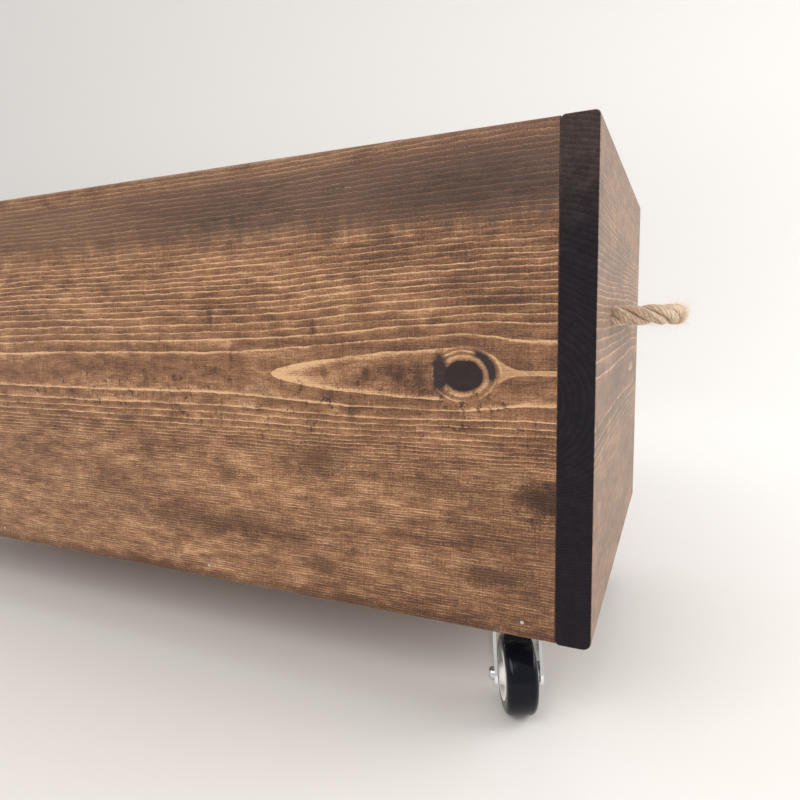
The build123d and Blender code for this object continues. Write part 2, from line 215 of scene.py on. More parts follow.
DARK_WOOD = (0.070, 0.029, 0.016)
MID_WOOD = (0.272, 0.126, 0.058)
LIGHT_WOOD = (0.690, 0.425, 0.228)
# Painted sheen: the pale grey-beige that a board's colour is mixed towards, in place of glare
PAINTED_SHEEN_WOOD = (0.340, 0.280, 0.225)
SMOKE = (0.114, 0.074, 0.060)
DEEP_STAIN = (0.19, 0.135, 0.115)  # this and the next one multiply the colour under them
SMOKE_SHADE = (0.2, 0.18, 0.17)
PINE_KNOT_CORE = (0.015, 0.005, 0.005)
PINE_KNOT_BARK = (0.027, 0.013, 0.012)
END_GRAIN = (0.0075, 0.0055, 0.0080)
END_GRAIN_ARC = [3.4 * channel for channel in END_GRAIN]
# Painted reflection: the paler colour that end grain is mixed towards near the top of a board
END_GRAIN_PAINTED_GLOSS = (0.075, 0.052, 0.046)

RING_MM = 3.3
FIRST_RING_MM = 40.0  # radius that the rings are counted from, and beyond which they get closer together
RINGS_CLOSE_IN = 3600.0  # the larger, the more slowly they do


class Grain:
    """Where a point is in its board, in mm (u along it, v across it, d under its face), and the noises that
    everything on the board shares."""

    def __init__(self, shader, along, across, into, shift):
        place = shader.place_mm()
        axes = [sign * place["XYZ".index(axis)] + offset for axis, sign, offset in (along, across, into)]
        self.u, self.v, self.d = axes
        spot = (self.u + shift, self.v, self.d)
        self.spot = spot
        self.sway = shader.noise(spot, (170, 60, 60), 2.0)
        self.waver = shader.noise(spot, (34, 11, 11), 3.0, 0.6)
        self.jog = shader.noise(spot, (8, 4, 4), 2.0, 0.5)
        self.jitter = shader.noise(spot, (2.6, 1.6, 1.6), 2.0, 0.6)
        self.fibre = shader.noise(spot, (17, 0.8, 0.8), 4.0, 0.65)
        self.fleck = shader.noise(spot, (1.4, 0.9, 0.9), 3.0, 0.7)
        self.chatter = shader.noise(spot, (0.9, 13, 13), 3.0, 0.6)
        self.mottle = shader.noise(spot, (20, 8, 8), 4.0, 0.68)
        self.broad = shader.noise(spot, (120, 30, 30), 3.0, 0.6)
        self.smear = shader.noise(spot, (9, 30, 30), 3.0, 0.6)
        self.ragged = shader.noise(spot, (17, 12, 12), 5.0, 0.72) * 3.4 + self.fleck * 1.2


def blotches(grain, patches):
    """How dense the stain is in patches, each (middle, half lengths, strength), with ragged edges."""
    density = grain.u * 0.0
    for middle, half, amount in patches:
        along = (grain.u - middle[0]) / half[0]
        across = (grain.v - middle[1]) / half[1]
        away = (along * along + across * across).root() + grain.ragged
        density = density.most(amount * (1.0 - away.rise(0.15, 1.45)))
    return density * (1.0 + grain.mottle * 2.2 + grain.fibre * 2.4)


def knot_tone(grain, middle, half, bark_strength):
    """Where a knot takes over from the board (0 to 1), its tone there, and how much is core and bark."""
    stretch = half[0] / half[1]
    across = grain.v - middle[1] + grain.waver * 2.2 + grain.jog * 1.8
    along = (grain.u - middle[0]) / stretch
    away = (across * across + along * along).root() + grain.jitter * 1.3
    zone = 1.0 - away.rise(half[1] * 1.66, half[1] * 1.95)
    rings = ((away - half[1]) / (half[1] * 0.31)).fraction()
    line = rings.rise(0.45, 0.85) * (0.55 + grain.waver * 2.6).most(0.0)
    rim = away.hill(half[1] * 1.15, half[1] * 0.09) * 0.32
    tone = 0.46 + line * 0.62 + rim + grain.fibre * 0.5 + grain.fleck * 0.8 + grain.mottle * 0.6
    core = 1.0 - away.rise(half[1] * 0.93, half[1] * 1.07)
    left = (grain.u - (middle[0] - half[0] * 1.18)) / (half[0] * 0.56)
    left_up = (grain.v - middle[1] - 1.5) / (half[1] * 1.45)
    smear = (left * left + left_up * left_up).root() + grain.ragged * 0.42 + grain.mottle * 1.2
    turned = along * 0.86 - across * 0.5
    right = (away - half[1] * 1.52 + turned * 0.10).hill(0.0, half[1] * 0.24)
    right = right * (along + grain.ragged * 1.5).rise(half[1] * 0.25, half[1] * 0.9)
    right = right * (across + grain.ragged * 2.5).rise(-half[1] * 0.75, half[1] * 0.1)
    bark = (1.0 - smear.rise(0.50, 1.15)).most(right * 1.5) * (1.05 + grain.mottle * 1.2) * bark_strength
    return zone, tone, core, bark


def flare_tone(grain, knot_right, meet):
    """A light fan beyond a knot, where the rings close again, that narrows to one thin band."""
    middle = grain.v - meet[1] + grain.waver * 1.6 + grain.jog * 0.8
    spread = ((meet[0] - grain.u) / (meet[0] - knot_right)).most(0.0).least(1.1)
    half = 1.5 + spread * spread * 8.5
    off = (middle - spread * spread * 1.5).size() / half
    fan = (1.0 - off.rise(0.75, 1.25)) * (0.80 + off.least(1.0) ** 4 * 0.35 - spread * 0.12)
    return fan * grain.u.rise(knot_right - 3.0, knot_right + 5.0)


def even(grain):
    """No change of tone along a board."""
    return 0.0


def darker_to_the_right(grain):
    """Tone lost towards a board's right end, most of all away from its heart line."""
    return grain.u.rise(190.0, 360.0) * (0.10 + grain.v.size().rise(10.0, 60.0) * 0.04)


def stained_pine(
    name,
    along,
    across,
    into,
    heart,
    knots=(),
    deep=(),
    flare=None,
    smoke=None,
    ticks=1.0,
    shift=0.0,
    tone=0.0,
    painted_sheen=0.0,
    shade=even,
):
    """Solid stained pine. Returns the material of a board's faces and the one of its end grain.

    along, across and into name the row axes of the board's length, width and depth, as (axis, sign, offset).
    heart gives where the middle of the tree lies, knots lists (middle, half lengths, bark strength) and deep
    lists the patches of stain. flare is (right side of its knot, where the rings have closed), smoke gives
    the grey-brown haze, ticks scales the torn marks and shift moves the noise. All of it is solid, so it runs
    over the board's edges."""
    shader = Shader(name)
    grain = Grain(shader, along, across, into, shift)
    phase, edge, strength = growth_rings(shader, grain, heart)
    high = grain.v.rise(60.0, 95.0)
    low = (grain.v * -1.0).rise(28.0, 62.0)
    body = phase * phase * (0.30 - low * 0.14) - 0.09 - shade(grain)
    lines = edge * strength * (0.66 - high * 0.34 - low * 0.20)
    rough = grain.fibre * (1.10 + low * 0.65) + grain.fleck * 1.15 + grain.chatter * 0.60
    light = 0.42 + low * 0.05 + body + lines + rough + grain.mottle * 1.25 + grain.broad * 0.95 + tone

    core = bark = grain.u * 0.0  # none of either, unless a knot adds it
    for middle, half, bark_strength in knots:
        zone, knot_light, inside, dark = knot_tone(grain, middle, half, bark_strength)
        light = light * (1.0 - zone) + knot_light * zone
        core = core.most(inside)
        bark = bark.most(dark)
    if flare is not None:
        light = light.most(flare_tone(grain, *flare) * (0.98 + grain.fleck * 0.9 + grain.fibre * 0.9))

    torn = torn_marks(shader, grain) * ticks

    colour = shader.blend(light.rise(-0.10, 0.58), DARK_WOOD, MID_WOOD)
    colour = shader.blend(light.rise(0.42, 1.12), colour, LIGHT_WOOD)
    if smoke is not None:
        haze = smoke(grain)
        colour = shader.blend(haze * (0.54 - lines * 0.60), colour, SMOKE)
        uneven = 1.0 + grain.mottle * 4.6 + grain.fibre * 4.6 + grain.chatter * 2.4
        colour = shader.blend(haze * 0.48 * uneven, colour, SMOKE_SHADE, "MULTIPLY")
    density = blotches(grain, deep).most(torn * 0.95)
    colour = shader.blend(density * (0.95 - lines * 0.35), colour, DEEP_STAIN, "MULTIPLY")
    colour = shader.blend(bark, colour, PINE_KNOT_BARK)
    core_colour = shader.blend((grain.mottle + 0.5).rise(0.45, 0.75), PINE_KNOT_CORE, PINE_KNOT_BARK)
    colour = shader.blend(core, colour, core_colour)
    relief = lines * 0.6 + grain.fibre * 0.8 + grain.fleck * 0.6 - torn * 0.8
    shader.bump(relief, 0.16)
    # Painted sheen: the colour is paled and greyed the way glare on a face seen edge-on would pale it
    if painted_sheen:
        colour = shader.blend(painted_sheen, colour, PAINTED_SHEEN_WOOD)
    faces = shader.finish(colour, 0.52 + grain.fleck * 0.20 + grain.fibre * 0.12, IOR=1.42)
    return faces, end_grain(f"{name}_end_grain", along, across, into, heart, shift)


def torn_marks(shader, grain):
    """Short marks near the heart line, where a planer tore the soft wood and the stain sank in."""
    place = (grain.u + grain.ragged * 2.0, grain.v, grain.d)
    marks = shader.noise(place, (4.6, 6.5, 6.5), 4.0, 0.72).rise(0.055, 0.135)
    where = shader.noise(grain.spot, (75, 26, 26), 2.0, 0.6).rise(-0.11, 0.05)
    return marks * (where * (grain.v + 18.0).hill(0.0, 32.0))


def growth_rings(shader, grain, heart):
    """A point's place between two rings (0 to 1), the latewood's edge there, and how strongly it shows."""
    line, depth, closing = heart(shader, grain.u)
    w = grain.v - line + grain.sway * 5.0 + grain.waver * 2.2 + grain.jog * 1.5 + grain.jitter * 0.7
    under = depth + closing * w.hill(0.0, 21.0) - grain.d * 0.9 + grain.sway * 0.8
    low_side = (w * -1.0).rise(22.0, 90.0)
    stretched = w * (1.0 + low_side * 0.5)
    radius = (stretched * stretched + under * under).root()
    uneven = shader.noise((radius, 0.0, 0.0), (9.0, 1.0, 1.0), 2.0, 0.6)
    beyond = radius - FIRST_RING_MM
    rings = beyond / RING_MM + beyond.most(0.0) ** 2 / RINGS_CLOSE_IN + uneven * 1.4 + FIRST_RING_MM
    phase = rings.fraction()
    edge = phase.rise(0.78, 0.96)
    strength = 0.60 + shader.noise(grain.spot, (60, 5, 5), 4.0, 0.68) * 2.6
    return phase, edge, strength.most(0.0).least(1.0)


def end_grain(name, along, across, into, heart, shift):
    """The cut ends of a board's fibres, which drink the stain and go nearly black, with faint arcs, and paler
    towards the top of an upright board as a painted reflection.
    """
    shader = Shader(name)
    grain = Grain(shader, along, across, into, shift)
    phase = growth_rings(shader, grain, heart)[0]
    arcs = (phase * 0.35 + grain.fleck * 1.1 + grain.mottle * 0.9 + 0.1).rise(0.0, 1.0)
    # Painted reflection: the end grain grows paler towards the top of the board
    painted_gloss = (grain.v + grain.mottle * 40.0 + grain.broad * 30.0).rise(70.0, 140.0)
    dark = shader.blend(arcs, END_GRAIN, END_GRAIN_ARC)
    shader.bump(phase * 0.7 + grain.fleck * 0.7, 0.22)
    return shader.finish(shader.blend(painted_gloss * (0.4 + arcs), dark, END_GRAIN_PAINTED_GLOSS), 0.74, IOR=1.28)


def front_heart(shader, u):
    """The heart line's height, the depth of the tree's middle under the front board's face, and how much
    deeper it lies close to the heart line, where the rings close beyond the knot."""
    line = 3.0 * u.rise(150.0, 340.0)
    depth = 41.1 - 3.8 * u.rise(120.0, 320.0)
    return line, depth, 4.4 * u.rise(306.0, 350.0)


def plain_heart(line_mm, depth_mm, sway_mm, start):
    """A straight heart line over a tree's middle whose depth wanders along the board."""

    def heart(shader, u):
        wander = shader.noise((u + start, 0.0, 0.0), (210, 1, 1), 1.0)
        return line_mm, depth_mm + wander * sway_mm, 0.0

    return heart


FRONT_HEART_Z_MM = 218.0
RIGHT_HEART_Z_MM = 210.0
LEFT_HEART_Z_MM = 190.0
BOARD_MM = 20.0

# Deep stain on the front board, in mm: (distance along it, height above the floor), half lengths, strength
FRONT_DEEP = [
    ((212, 164), (26, 13), 0.62),
    ((300, 152), (40, 8), 0.45),
    ((357, 150), (16, 14), 1.0),
    ((64, 160), (10, 18), 0.50),
    ((138, 147), (9, 7), 0.55),
    ((110, 111), (110, 8), 0.62),
    ((327, 102), (25, 7), 0.72),
    ((213, 91), (12, 7), 0.60),
    ((165, 117), (60, 6), 0.45),
    ((320, 128), (36, 8), 0.35),
    ((46, 182), (11, 8), 0.55),
    ((28, 128), (34, 9), 0.40),
    ((86, 90), (6, 8), 0.45),
    ((150, 322), (64, 16), 0.30),
    ((318, 322), (52, 14), 0.42),
    ((110, 70), (420, 4.5), 0.65),
    ((40, 308), (14, 9), 0.35),
    ((150, 300), (7, 6), 0.45),
    ((223, 305), (10, 11), 0.5),
    ((262, 296), (9, 16), 0.42),
    ((244, 283), (6, 8), 0.30),
    ((248, 219), (4, 5), 0.75),
    ((270, 218), (5, 8), 0.80),
    ((219, 219), (3, 4), 0.65),
    ((283, 218), (3, 8), 0.5),
    ((238, 197), (4, 9), 0.65),
    ((212, 248), (3, 5), 0.75),
    ((130, 257), (2.4, 7), 0.70),
    ((146, 229), (2.2, 4), 0.70),
    ((67, 214), (3, 6), 0.55),
    ((172, 207), (9, 6), 0.40),
    ((-150, 200), (30, 10), 0.5),
    ((-240, 130), (60, 12), 0.6),
    ((-310, 300), (50, 18), 0.6),
    ((-60, 260), (20, 8), 0.35),
]


def front_smoke(grain):
    """A broad grey-brown band under the front board's upper edge, with a smeared lower edge."""
    height = grain.v + grain.smear * 34.0 + grain.ragged * 5.0
    band = height.rise(78.0, 100.0) * (1.0 - 0.60 * grain.v.rise(118.0, 131.0))
    left = (1.0 - grain.u.rise(20.0, 150.0)) * 0.30
    return (band * (1.0 - left) * (0.86 + grain.broad * 1.2)).least(1.0)


def edge_smoke(start, stop, amount):
    """Grey-brown stain from the height start up to stop, counted from the heart line."""

    def smoke(grain):
        return (grain.v + grain.smear * 30.0).rise(start, stop) * amount

    return smoke


# Where the end boards' nails went in: along Y, and height above the floor, in mm
END_NAILS = [(y, z) for y in (-149.0, 149.0) for z in (84.0, 191.0, 317.0)] + [(0.0, 77.0)]
# Darker spots round the sunk nails: half lengths in mm, and strength
NAIL_DARK_SPOT = ((3.4, 4.6), 1.5)


def from_heart(patches, heart_z_mm):
    """Patches with their heights counted from the heart line."""
    return [((x, z - heart_z_mm), half, amount) for (x, z), half, amount in patches]


def make_wood():
    low = CASE_LOW / MM
    high = CASE_HIGH / MM
    nail_dark_spots = from_heart([(place, *NAIL_DARK_SPOT) for place in END_NAILS], RIGHT_HEART_Z_MM)
    middle_z = (low.z + high.z) / 2
    front = stained_pine(
        "stained_pine_front",
        ("X", 1, 0.0),
        ("Z", 1, -FRONT_HEART_Z_MM),
        ("Y", 1, -low.y),
        front_heart,
        knots=[((311.0, 1.0), (12.0, 9.3), 1.0), ((-232.0, 64.0), (9.0, 7.0), 0.4)],
        deep=from_heart(FRONT_DEEP, FRONT_HEART_Z_MM),
        flare=(328.0, (345.0, 3.0)),
        smoke=front_smoke,
        shade=darker_to_the_right,
    )
    back = stained_pine(
        "stained_pine_back",
        ("X", -1, 0.0),
        ("Z", 1, -middle_z),
        ("Y", -1, high.y),
        plain_heart(-26.0, 44.0, 16.0, 900.0),
        knots=[((-140.0, 18.0), (11.0, 9.0), 0.3), ((236.0, -74.0), (8.0, 7.0), 0.4)],
        deep=[((40, 70), (150, 14), 0.6), ((250, 30), (26, 12), 0.5), ((-300, -90), (60, 14), 0.7)],
        smoke=edge_smoke(85.0, 125.0, 0.8),
        shift=1700.0,
    )
    right = stained_pine(
        "stained_pine_right_end",
        ("Y", 1, 0.0),
        ("Z", 1, -RIGHT_HEART_Z_MM),
        ("X", -1, high.x),
        plain_heart(-4.0, 41.0, 9.0, 0.0),
        deep=[((60, -70), (70, 14), 0.4), *nail_dark_spots],
        # painted sheen over this end board's face
        painted_sheen=0.30,
        tone=-0.12,
        shift=3300.0,
        ticks=0.6,
    )
    left = stained_pine(
        "stained_pine_left_end",
        ("Y", -1, 0.0),
        ("Z", 1, -LEFT_HEART_Z_MM),
        ("X", 1, -low.x),
        plain_heart(12.0, 46.0, 12.0, 300.0),
        knots=[((40.0, -52.0), (10.0, 8.0), 0.3)],
        deep=[((-60, 100), (80, 14), 0.6), ((90, -90), (50, 10), 0.5)],
        smoke=edge_smoke(100.0, 150.0, 0.6),
        shift=5200.0,
        ticks=0.6,
    )
    bottom = stained_pine(
        "stained_pine_bottom",
        ("X", 1, 0.0),
        ("Y", 1, 0.0),
        ("Z", -1, low.z + BOARD_MM),
        plain_heart(30.0, 52.0, 20.0, 600.0),
        knots=[((90.0, -60.0), (10.0, 8.0), 0.3), ((-210.0, 74.0), (9.0, 7.0), 0.4)],
        deep=[((0, 0), (300, 60), 0.3)],
        shift=7100.0,
        tone=-0.08,
    )
    paint_board(NODES["front_panel"], front, 0)
    paint_board(NODES["back_panel"], back, 0)
    paint_board(NODES["right_end_panel"], right, 1)
    paint_board(NODES["left_end_panel"], left, 1)
    paint_board(NODES["bottom_board"], bottom, 0)


LOOKS_ALONG = 0.8  # a face is end grain where its direction has more than this along the board


def paint_board(obj, looks, along):
    """Gives a board its face material, and its end grain one where a face looks along the board's length."""
    obj.data.materials.clear()
    for look in looks:
        obj.data.materials.append(look)
    for face in obj.data.polygons:
        face.material_index = int(abs(face.normal[along]) > LOOKS_ALONG)


# --- Metal, rubber and plastic ----------------------------------------------------------------------------


def cloudy_metal(name, colour, roughness):
    """Bare or plated metal with faint clouds in its tone and polish."""
    shader = Shader(name)
    x, y, z = shader.place_mm()
    cloud = shader.noise((x, y, z), (9, 9, 9), 3.0, 0.6)
    dull = [0.88 * channel for channel in colour]
    shade = shader.blend((cloud + 0.5).rise(0.2, 0.8), dull, colour)
    return shader.finish(shade, roughness + cloud * 0.10, metallic=1.0)


def make_hardware():
    plate = cloudy_metal("zinc_plate", (0.62, 0.61, 0.60), 0.20)
    polished = cloudy_metal("polished_steel", (0.94, 0.94, 0.95), 0.18)
    bolt = cloudy_metal("bolt_zinc", (0.74, 0.74, 0.75), 0.22)
    bright_nail = cloudy_metal("bright_nail", (0.60, 0.57, 0.54), 0.30)
    # Dark heads for the sunk nails in the end boards
    dark_nail = cloudy_metal("dark_sunk_nail", (0.10, 0.085, 0.075), 0.45)
    tread = Shader("black_tread").finish((0.0042, 0.0052, 0.0100), 0.15, IOR=1.28)
    hub = Shader("white_hub").finish((0.90, 0.875, 0.85), 0.36)
    looks = {
        "mounting_plate": plate,
        "mounting_screws": bolt,
        "kingpin": plate,
        "swivel_balls": polished,
        "fork": polished,
        "axle_bolt": bolt,
        "axle_nut": bolt,
        "axle_sleeve": polished,
        "wheel_hub": hub,
        "tyre": tread,
    }
    for castor in CASTORS:
        for part, look in looks.items():
            paint(NODES[f"{castor}_{part}"], look)
    for name in ("front_panel_nails", "back_panel_nails"):
        paint(NODES[name], bright_nail)
    for name in ("right_end_nails", "left_end_nails"):
        paint(NODES[name], dark_nail)


# --- Rope handles -----------------------------------------------------------------------------------------

ROPE_RADIUS = 6.35 * MM
STRAND_RADIUS = 3.12 * MM
STRAND_OFFSET = 3.26 * MM
LAY_LENGTH = 40.0 * MM
HANDLE_Z = 251.0 * MM
HOLE_Y = 82.0 * MM
RING_STEP = 0.55 * MM
STRANDS = 3
STRAND_SIDES = 20
STRAND_DRIFT = 0.12 * MM
DRIFT_LENGTH = 13 * MM
YARNS = 7
YARN_LAY = LAY_LENGTH * 0.62
YARN_RIDGE = 0.10

# Out of the end board's face and along Y, in mm, from hole to hole
HANDLE_ROUTE = (
    (-20.0, -82.0, 0.0),
    (19.0, -82.0, 0.0),
    (36.2, -64.5, 0.0),
    (37.0, -31.0, 0.0),
    (37.4, 3.0, 0.0),
    (36.9, 36.0, 0.0),
    (35.8, 65.0, 0.0),
    (18.6, 82.0, 0.0),
    (-20.0, 82.0, 0.0),
)


def end_frame(side):
    """From (out of the face, along Y, up) to the row frame, at the right end (side 1) or the left (-1)."""
    face = CASE_HIGH.x if side > 0 else CASE_LOW.x
    turn = Matrix.Rotation(0.0 if side > 0 else math.pi, 4, "Z")
    return Matrix.Translation((face, 0.0, HANDLE_Z)) @ turn


def smooth_line(name, points):
    """Points close together on a NURBS curve that has these control points, in metres."""
    curve = bpy.data.curves.new(name, "CURVE")
    curve.dimensions = "3D"
    spline = curve.splines.new("NURBS")
    spline.points.add(len(points) - 1)
    for point, place in zip(spline.points, points):
        point.co = (*place, 1.0)
    spline.order_u = 3
    spline.use_endpoint_u = True
    spline.resolution_u = 24
    holder = bpy.data.objects.new(name, curve)
    mesh = bpy.data.meshes.new_from_object(holder)
    line = np.array([vertex.co[:] for vertex in mesh.vertices])
    bpy.data.objects.remove(holder)
    bpy.data.curves.remove(curve)
    bpy.data.meshes.remove(mesh)
    return line


def resample(line, step):
    """The line with points at even distances."""
    along = np.concatenate([[0.0], np.cumsum(np.linalg.norm(np.diff(line, axis=0), axis=1))])
    count = max(8, int(round(along[-1] / step)))
    stops = np.linspace(0.0, along[-1], count + 1)
    return np.stack([np.interp(stops, along, line[:, k]) for k in range(3)], axis=1), stops


def carried_frames(line):
    """Directions along the line, and two across it that turn no more than they must."""
    ahead = np.gradient(line, axis=0)
    ahead /= np.linalg.norm(ahead, axis=1)[:, None]
    side = np.cross(ahead[0], [0.0, 0.0, 1.0])
    if np.linalg.norm(side) < 0.1:
        side = np.cross(ahead[0], [0.0, 1.0, 0.0])
    sides = []
    for direction in ahead:
        side = side - direction * side.dot(direction)
        side = side / np.linalg.norm(side)
        sides.append(side)
    sides = np.array(sides)
    return ahead, sides, np.cross(ahead, sides)


def laid_rope(name, line, material, seed):
    """Three strands laid round a line, each a twist of yarns, as one mesh. Returns it and the centres.

    The attribute "fibre" holds the distance along the rope, the place around the strand in yarns, and the
    distance from the rope's middle, lengths in mm."""
    rng = np.random.default_rng(seed)
    centres, stops = resample(line, RING_STEP)
    ahead, sides, ups = carried_frames(centres)
    around = np.linspace(0.0, 2 * math.pi, STRAND_SIDES, endpoint=False)
    verts, faces, fibres = [], [], []
    count = len(centres)
    for strand in range(STRANDS):
        turn = 2 * math.pi * (stops / LAY_LENGTH + strand / STRANDS)
        out = np.cos(turn)[:, None] * sides + np.sin(turn)[:, None] * ups
        round_it = -np.sin(turn)[:, None] * sides + np.cos(turn)[:, None] * ups
        drift = STRAND_DRIFT * np.sin(stops / DRIFT_LENGTH + strand * 2.1)
        middle = centres + out * (STRAND_OFFSET + drift)[:, None]
        slope = 2 * math.pi * STRAND_OFFSET / LAY_LENGTH
        course = ahead + slope * round_it
        course /= np.linalg.norm(course, axis=1)[:, None]
        other = np.cross(course, out)
        yarn_turn = -2 * math.pi * stops / YARN_LAY
        waver = np.interp(stops, np.linspace(0, stops[-1], 40), rng.normal(0.0, 0.05, 40))
        base = len(verts)
        for k in range(count):
            ridge = np.abs(np.sin((around + yarn_turn[k]) * YARNS / 2))
            reach = STRAND_RADIUS * (0.93 + YARN_RIDGE * ridge + waver[k] * 0.5)
            ring = (
                middle[k]
                + np.outer(np.cos(around) * reach, out[k])
                + np.outer(np.sin(around) * reach, other[k])
            )
            verts.extend(ring)
            sunk = np.linalg.norm(ring - centres[k], axis=1) / MM
            fibres.extend(
                (stops[k] / MM, (a + yarn_turn[k]) / (2 * math.pi) * YARNS, s) for a, s in zip(around, sunk)
            )
        for k in range(count - 1):
            for s in range(STRAND_SIDES):
                a, b = base + k * STRAND_SIDES + s, base + k * STRAND_SIDES + (s + 1) % STRAND_SIDES
                faces.append((a, b, b + STRAND_SIDES, a + STRAND_SIDES))
        first = [base + s for s in range(STRAND_SIDES)]
        last = [base + (count - 1) * STRAND_SIDES + s for s in range(STRAND_SIDES)]
        faces.append(tuple(reversed(first)))
        faces.append(tuple(last))
    mesh = bpy.data.meshes.new(name)
    mesh.from_pydata([tuple(v) for v in verts], [], faces)
    mesh.update()
    layer = mesh.attributes.new("fibre", "FLOAT_VECTOR", "POINT")
    layer.data.foreach_set("vector", np.array(fibres, dtype=np.float32).ravel())
    obj = bpy.data.objects.new(name, mesh)
    bpy.context.scene.collection.objects.link(obj)
    for face in mesh.polygons:
        face.use_smooth = True
    mesh.materials.append(material)
    return obj, centres


HAIR_RADIUS = 0.055 * MM
HAIR_SEGMENTS = 6
HAIR_REACH_MM = ((1.0, 3.2), (3.0, 10.0))  # shortest and longest, of the short hairs and of the long
HAIR_LIFT = (0.8, 1.0)  # how far each kind may lean out of the rope
LOOP_HAIRS = (2600, 300)
KNOT_HAIRS = (700, 90)
TUFT_HAIRS = 170
HAIRLESS = 2 * MM  # of rope beside the board
TUFT_ROOT = 1.0 * MM
TRIANGLE = [math.radians(corner) for corner in (0.0, 120.0, 240.0)]


def add_sliver(verts, faces, root, direction, bend, length):
    """Adds one thin, three-sided fibre that curves towards bend and narrows to its tip."""
    base = len(verts)
    spin = np.cross(direction, [0.3, 0.5, 0.8])
    spin /= np.linalg.norm(spin)
    third = np.cross(direction, spin)
    for k in range(HAIR_SEGMENTS + 1):
        t = k / HAIR_SEGMENTS
        middle = root + direction * (length * t) + bend * (length * t * t)
        wide = HAIR_RADIUS * (1.0 - 0.8 * t)
        for a in TRIANGLE:
            verts.append(middle + wide * (math.cos(a) * spin + math.sin(a) * third))
    for k in range(HAIR_SEGMENTS):
        for s in range(3):
            a, b = base + k * 3 + s, base + k * 3 + (s + 1) % 3
            faces.append((a, b, b + 3, a + 3))
    faces.append((base + 2, base + 1, base))
    tip = base + HAIR_SEGMENTS * 3
    faces.append((tip, tip + 1, tip + 2))


def hairs(name, line, material, seed, counts, tuft=False):
    """Fibres that stand out of a rope. counts gives how many short and long ones, and tuft frays its end."""
    rng = np.random.default_rng(seed)
    centres, _ = resample(line, RING_STEP)
    ahead, sides, ups = carried_frames(centres)
    verts, faces = [], []
    for count, (shortest, longest), lift in zip(counts, HAIR_REACH_MM, HAIR_LIFT):
        for _ in range(count):
            k = rng.integers(2, len(centres) - 2)
            angle = rng.uniform(0, 2 * math.pi)
            out = math.cos(angle) * sides[k] + math.sin(angle) * ups[k]
            direction = out * rng.uniform(0.2, lift) + ahead[k] * rng.choice((-1, 1)) * rng.uniform(0.5, 1.3)
            direction /= np.linalg.norm(direction)
            bend = rng.normal(0.0, 0.45, 3)
            root = centres[k] + out * ROPE_RADIUS * rng.uniform(0.80, 0.94)
            add_sliver(verts, faces, root, direction, bend, rng.uniform(shortest, longest) * MM)
    for _ in range(TUFT_HAIRS if tuft else 0):
        angle = rng.uniform(0, 2 * math.pi)
        off = ROPE_RADIUS * math.sqrt(rng.uniform(0.0, 0.9))
        out = math.cos(angle) * sides[-1] + math.sin(angle) * ups[-1]
        direction = ahead[-1] + out * rng.uniform(0.0, 0.7)
        direction /= np.linalg.norm(direction)
        root = centres[-1] + out * off - ahead[-1] * TUFT_ROOT
        bend = rng.normal(0.0, 0.25, 3)
        add_sliver(verts, faces, root, direction, bend, rng.uniform(3, 9) * MM)
    mesh = bpy.data.meshes.new(name)
    mesh.from_pydata([tuple(v) for v in verts], [], faces)
    mesh.update()
    obj = bpy.data.objects.new(name, mesh)
    bpy.context.scene.collection.objects.link(obj)
    mesh.materials.append(material)
    return obj


JUTE_DARK = (0.38, 0.215, 0.13)
JUTE_LIGHT = (0.98, 0.77, 0.56)
# painted shade for the grooves between yarns
JUTE_GROOVE_SHADE = (0.20, 0.11, 0.065)
# painted shade for the hollows between strands
JUTE_STRAND_SHADE = (0.30, 0.19, 0.14)
JUTE_HAIR = (0.88, 0.70, 0.52)


def rope_material():
    shader = Shader("jute_rope")
    fibre = shader.node("ShaderNodeAttribute", attribute_name="fibre")
    split = shader.node("ShaderNodeSeparateXYZ")
    shader.tree.links.new(fibre.outputs["Vector"], split.inputs[0])
    along, around, from_middle = (Field(shader, split.outputs[k]) for k in range(3))
    x, y, z = shader.place_mm()
    streak = shader.noise((along, around, 0.0), (9.0, 0.22, 1.0), 3.0, 0.65)
    patch = shader.noise((x, y, z), (5, 5, 5), 2.0)
    groove = (around.fraction() - 0.5).size().rise(0.30, 0.50)
    nap = shader.noise((x, y, z), (0.7, 0.7, 0.7), 3.0, 0.7)
    tone = 0.5 + streak * 1.5 + patch * 0.7 + nap * 1.2
    colour = shader.blend(tone.rise(-0.10, 0.85), JUTE_DARK, JUTE_LIGHT)
    # Painted shade in the grooves between the yarns
    colour = shader.blend(groove * 0.50, colour, JUTE_GROOVE_SHADE)
    # Painted shade: darker the deeper a point lies between the strands
    between = 1.0 - from_middle.rise(3.0, 5.4)
    colour = shader.blend(between * 0.85, colour, JUTE_STRAND_SHADE, "MULTIPLY")
    shader.bump(streak * 1.2 - groove * 0.7 + nap * 0.9, 0.34)
    return shader.finish(colour, 0.9, Sheen_Weight=0.3, Sheen_Roughness=0.5)


def hair_material():
    return Shader("jute_hair").finish(JUTE_HAIR, 0.8, Sheen_Weight=0.2)


# A barrel knot, out of the face, along Y from the hole, and up, in mm: a core, turns back round it, a tail
KNOT_CORE_ROUTE = [(-16.0, 0.0, 0.0), (-28.0, 0.0, 0.0), (-41.0, 0.0, 0.0), (-47.0, 0.5, 4.5)]
KNOT_TAIL_ROUTE = [(-26.8, 12.6, 0.5), (-27.4, 14.2, -12.0), (-28.0, 13.2, -28.0), (-27.2, 11.6, -43.0)]
KNOT_TURN_R = 12.3
KNOT_NEAR_BOARD = -26.6
KNOT_COIL_LENGTH = 17.69
KNOT_TURNS = 2.0
KNOT_STEPS = 16
KNOT_START = math.radians(20.0)


def knot_route():
    points = list(KNOT_CORE_ROUTE)
    for k in range(KNOT_STEPS + 1):
        t = k / KNOT_STEPS
        angle = KNOT_START - KNOT_TURNS * 2 * math.pi * t
        out = KNOT_NEAR_BOARD - KNOT_COIL_LENGTH * (1.0 - t)
        points.append((out, KNOT_TURN_R * math.sin(angle), KNOT_TURN_R * math.cos(angle)))
    return points + KNOT_TAIL_ROUTE


